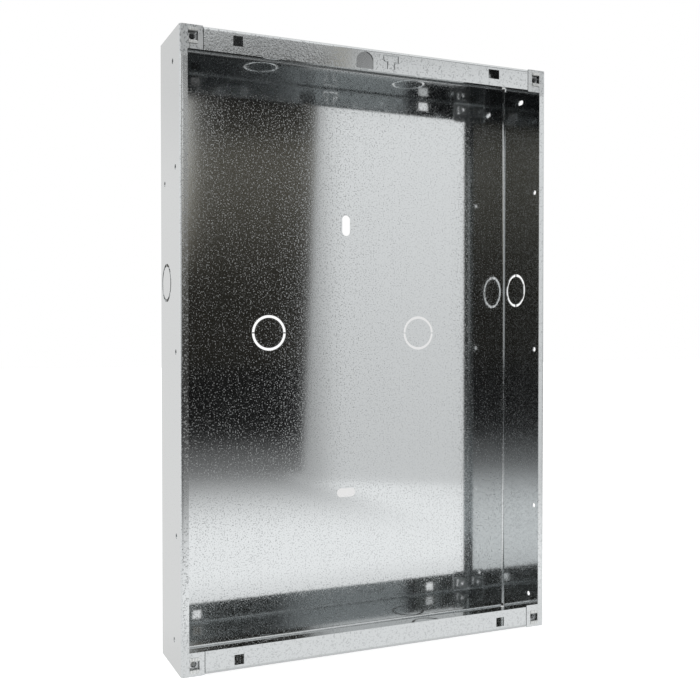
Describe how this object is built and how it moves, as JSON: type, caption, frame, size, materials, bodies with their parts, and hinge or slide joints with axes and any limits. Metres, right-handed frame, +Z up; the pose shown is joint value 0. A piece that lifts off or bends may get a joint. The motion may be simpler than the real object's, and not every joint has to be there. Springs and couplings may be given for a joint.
{
  "type": "flush mounting box",
  "caption": "Shallow open-fronted box folded from galvanised sheet, with ring knockouts in its walls, wall-fixing slots in its back and cage nuts in the corner tabs for a cover.",
  "frame": {"origin": "on the ground, below the middle of the width and of the whole depth, cage lips included", "axes": "+Z up the height of the box, +X to the right as seen from the open front, +Y from the open front to the back"},
  "size_m": [0.4, 0.0808, 0.6],
  "materials": {
    "galvanised_sheet": "bright galvanised sheet with a fine grain",
    "spring_steel": "bright spring strip",
    "zinc_plated_steel": "zinc-plated nut"
  },
  "bodies": {
    "root": {"box_body": "galvanised_sheet", "cage_top_left": "spring_steel", "cage_top_right": "spring_steel", "cage_bottom_left": "spring_steel", "cage_bottom_right": "spring_steel", "nut_top_left": "zinc_plated_steel", "nut_top_right": "zinc_plated_steel", "nut_bottom_left": "zinc_plated_steel", "nut_bottom_right": "zinc_plated_steel"}
  },
  "joints": []
}
